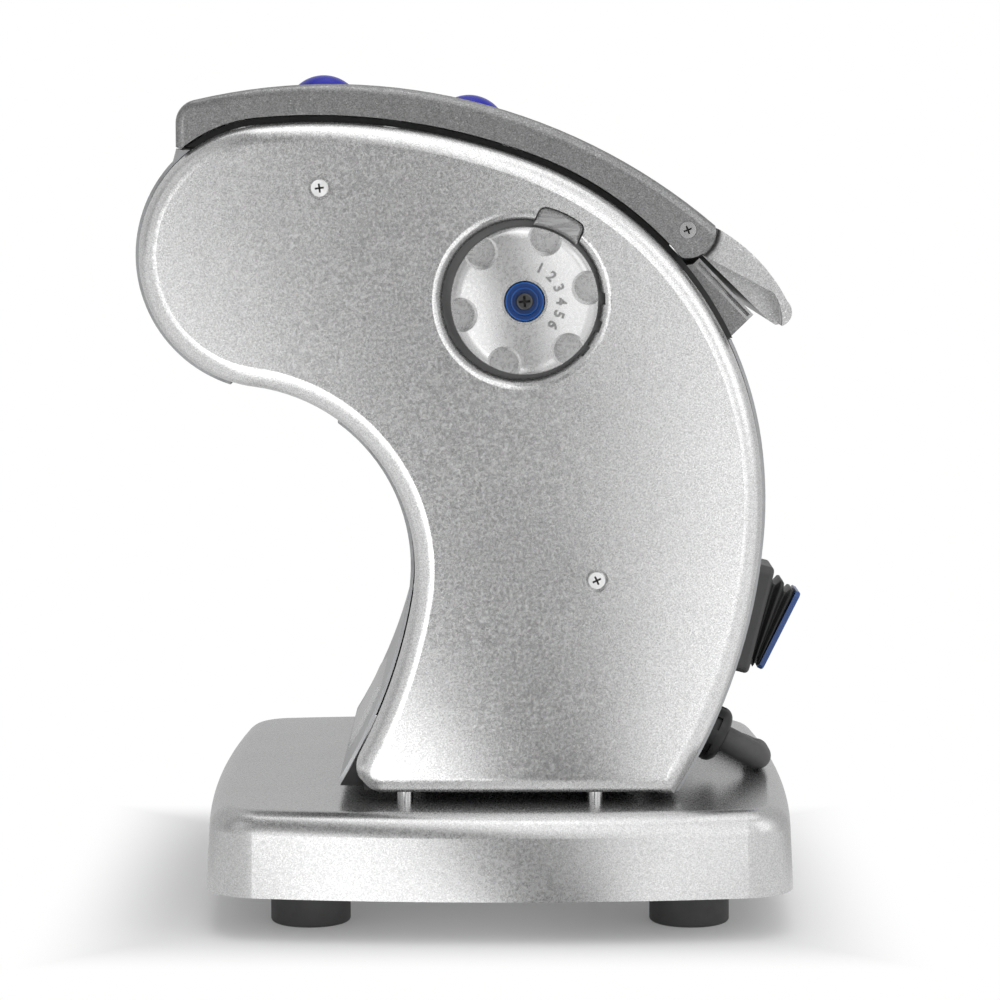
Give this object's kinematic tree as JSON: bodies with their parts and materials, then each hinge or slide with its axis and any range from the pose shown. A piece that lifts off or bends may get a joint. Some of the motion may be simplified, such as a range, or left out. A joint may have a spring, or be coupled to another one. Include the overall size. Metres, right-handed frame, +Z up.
{
  "type": "electric pasta maker",
  "caption": "Electric pasta maker with an arched metal body on a square base, smooth rollers set by a numbered knob, noodle cutters, feed flap, push buttons and rocker switch.",
  "frame": {"origin": "centre of the machine's footprint, without its free cord, at the level of the surface it stands on", "axes": "+X towards the switch and feed flap, +Y away from the thickness knob towards the gear side, +Z up"},
  "size_m": [0.2329, 0.3565, 0.2967],
  "materials": {
    "silver_paint": "fine metallic paint, satin",
    "grey_paint": "coarse metallic paint, satin",
    "satin_steel": "satin",
    "steel_plate": "satin",
    "black_enamel": "satin",
    "bright_steel": "polished",
    "screw_steel": "satin",
    "chrome": "mirror",
    "dark_chrome": "mirror",
    "bronze": "satin",
    "gear_steel": "satin",
    "gear_nylon": "matt",
    "black_plastic": "matt",
    "blue_plastic": "gloss",
    "rubber": "matt",
    "gearbox_alloy": "as cast",
    "motor_paint": "satin"
  },
  "bodies": {
    "machine": {"base_housing": "silver_paint", "near_side_cover": "silver_paint", "far_side_cover": "silver_paint", "top_cover": "grey_paint", "feed_chute": "grey_paint", "nose_skin": "satin_steel", "front_skin": "satin_steel", "rear_skin": "satin_steel", "index_plate": "satin_steel", "base_plate": "steel_plate", "gear_plate": "steel_plate", "sheet_guide": "steel_plate", "feed_guides": "steel_plate", "near_frame_plate": "black_enamel", "far_frame_plate": "black_enamel", "tie_rods": "bright_steel", "gear_pins": "bright_steel", "body_studs": "bright_steel", "foot_screws": "screw_steel", "tie_rod_screws": "screw_steel", "side_cover_screws": "screw_steel", "flap_screws": "screw_steel", "button_springs": "screw_steel", "chute_rail": "chrome", "index_tab": "dark_chrome", "frame_bushes": "bronze", "roller_scrapers": "black_plastic", "cable_gland": "black_plastic", "switch_housing": "black_plastic", "rubber_feet": "rubber", "switch_boot": "rubber", "cable_sleeve": "rubber", "power_cord": "rubber", "cord_coil": "rubber", "plug": "rubber", "gearbox": "gearbox_alloy", "drive_motor": "motor_paint"},
    "adjuster": {"adjuster_shaft": "bright_steel", "knob_hub": "blue_plastic", "knob_screw": "screw_steel", "knob_spring": "screw_steel"},
    "knob": {"thickness_knob": "silver_paint"},
    "roller_carrier": {"adjuster_sleeves": "black_plastic"},
    "upper_roller": {"adjustable_roller": "bright_steel", "upper_roller_gear": "gear_steel"},
    "lower_roller": {"fixed_roller": "bright_steel", "lower_roller_gear": "gear_steel"},
    "centre_gear": {"centre_idler": "gear_nylon"},
    "rear_gear": {"rear_idler": "gear_nylon"},
    "front_gear": {"front_idler": "gear_nylon"},
    "wheel": {"drive_wheel": "gear_nylon"},
    "pinion": {"motor_pinion": "gear_steel"},
    "narrow_rear": {"narrow_rear_cutter": "bright_steel"},
    "narrow_front": {"narrow_front_cutter": "bright_steel"},
    "wide_rear": {"wide_rear_cutter": "bright_steel"},
    "wide_front": {"wide_front_cutter": "bright_steel"},
    "flap": {"feed_flap": "grey_paint"},
    "front_push_button": {"front_button": "blue_plastic"},
    "rear_push_button": {"rear_button": "blue_plastic"},
    "rocker": {"switch_rocker": "blue_plastic"}
  },
  "joints": [
    {"name": "fixed_roller_spin", "type": "hinge", "parent": "machine", "child": "lower_roller", "pos_m": [0.01629, 0, 0.1915], "axis": [0, -1, 0], "continuous": true},
    {"name": "thickness_turn", "type": "hinge", "parent": "machine", "child": "adjuster", "pos_m": [0.0173, 0, 0.2187], "axis": [0, -1, 0], "range_deg": [0, 105]},
    {"name": "knob_pull", "type": "slide", "parent": "adjuster", "child": "knob", "axis": [0, -1, 0], "range_m": [0, 0.0025], "stiffness_N_per_m": 400, "springref_m": -0.001, "deforming": ["knob_spring"]},
    {"name": "gap_adjust", "type": "slide", "parent": "machine", "child": "roller_carrier", "axis": [0, 0, -1], "range_m": [0, 0.002]},
    {"name": "adjustable_roller_spin", "type": "hinge", "parent": "roller_carrier", "child": "upper_roller", "pos_m": [0.01629, 0, 0.2197], "axis": [0, -1, 0], "continuous": true},
    {"name": "centre_idler_spin", "type": "hinge", "parent": "machine", "child": "centre_gear", "pos_m": [-0.00986, 0, 0.20773], "axis": [0, -1, 0], "continuous": true},
    {"name": "rear_idler_spin", "type": "hinge", "parent": "machine", "child": "rear_gear", "pos_m": [-0.04607, 0, 0.21687], "axis": [0, -1, 0], "continuous": true},
    {"name": "front_idler_spin", "type": "hinge", "parent": "machine", "child": "front_gear", "pos_m": [-0.06373, 0, 0.21687], "axis": [0, -1, 0], "continuous": true},
    {"name": "drive_wheel_spin", "type": "hinge", "parent": "machine", "child": "wheel", "pos_m": [0.04547, 0, 0.16231], "axis": [0, -1, 0], "continuous": true},
    {"name": "motor_pinion_spin", "type": "hinge", "parent": "machine", "child": "pinion", "pos_m": [0.0648, 0, 0.12884], "axis": [0, -1, 0], "continuous": true},
    {"name": "narrow_rear_cutter_spin", "type": "hinge", "parent": "machine", "child": "narrow_rear", "pos_m": [-0.01645, 0, 0.236], "axis": [0, -1, 0], "continuous": true},
    {"name": "narrow_front_cutter_spin", "type": "hinge", "parent": "machine", "child": "narrow_front", "pos_m": [-0.03935, 0, 0.236], "axis": [0, -1, 0], "continuous": true},
    {"name": "wide_rear_cutter_spin", "type": "hinge", "parent": "machine", "child": "wide_rear", "pos_m": [-0.07045, 0, 0.236], "axis": [0, -1, 0], "continuous": true},
    {"name": "wide_front_cutter_spin", "type": "hinge", "parent": "machine", "child": "wide_front", "pos_m": [-0.09335, 0, 0.236], "axis": [0, -1, 0], "continuous": true},
    {"name": "feed_flap_hinge", "type": "hinge", "parent": "machine", "child": "flap", "pos_m": [0.0732, 0, 0.2424], "axis": [0, -1, 0], "range_deg": [0, 80]},
    {"name": "front_button_press", "type": "slide", "parent": "machine", "child": "front_push_button", "axis": [0.0324, 0, -0.9995], "range_m": [0, 0.0025], "stiffness_N_per_m": 500, "springref_m": -0.001, "deforming": ["button_springs"]},
    {"name": "rear_button_press", "type": "slide", "parent": "machine", "child": "rear_push_button", "axis": [-0.2413, 0, -0.9705], "range_m": [0, 0.0025], "stiffness_N_per_m": 500, "springref_m": -0.001, "deforming": ["button_springs"]},
    {"name": "power_switch_rock", "type": "hinge", "parent": "machine", "child": "rocker", "pos_m": [0.1006, 0, 0.10233], "axis": [0, -1, 0], "range_deg": [0, 24.6], "deforming": ["switch_boot"]}
  ],
  "couplings": [
    {"joint": "adjustable_roller_spin", "follows": "fixed_roller_spin", "ratio": -1},
    {"joint": "centre_idler_spin", "follows": "fixed_roller_spin", "ratio": -0.75},
    {"joint": "rear_idler_spin", "follows": "fixed_roller_spin", "ratio": 1.5},
    {"joint": "front_idler_spin", "follows": "fixed_roller_spin", "ratio": -1.5},
    {"joint": "drive_wheel_spin", "follows": "fixed_roller_spin", "ratio": -0.46875},
    {"joint": "motor_pinion_spin", "follows": "fixed_roller_spin", "ratio": 1.25},
    {"joint": "narrow_rear_cutter_spin", "follows": "fixed_roller_spin", "ratio": 1.1538},
    {"joint": "narrow_front_cutter_spin", "follows": "fixed_roller_spin", "ratio": -1.1538},
    {"joint": "wide_rear_cutter_spin", "follows": "fixed_roller_spin", "ratio": 1.1538},
    {"joint": "wide_front_cutter_spin", "follows": "fixed_roller_spin", "ratio": -1.1538},
    {"joint": "thickness_turn", "follows": "gap_adjust", "rad_per_m": 916.3}
  ]
}
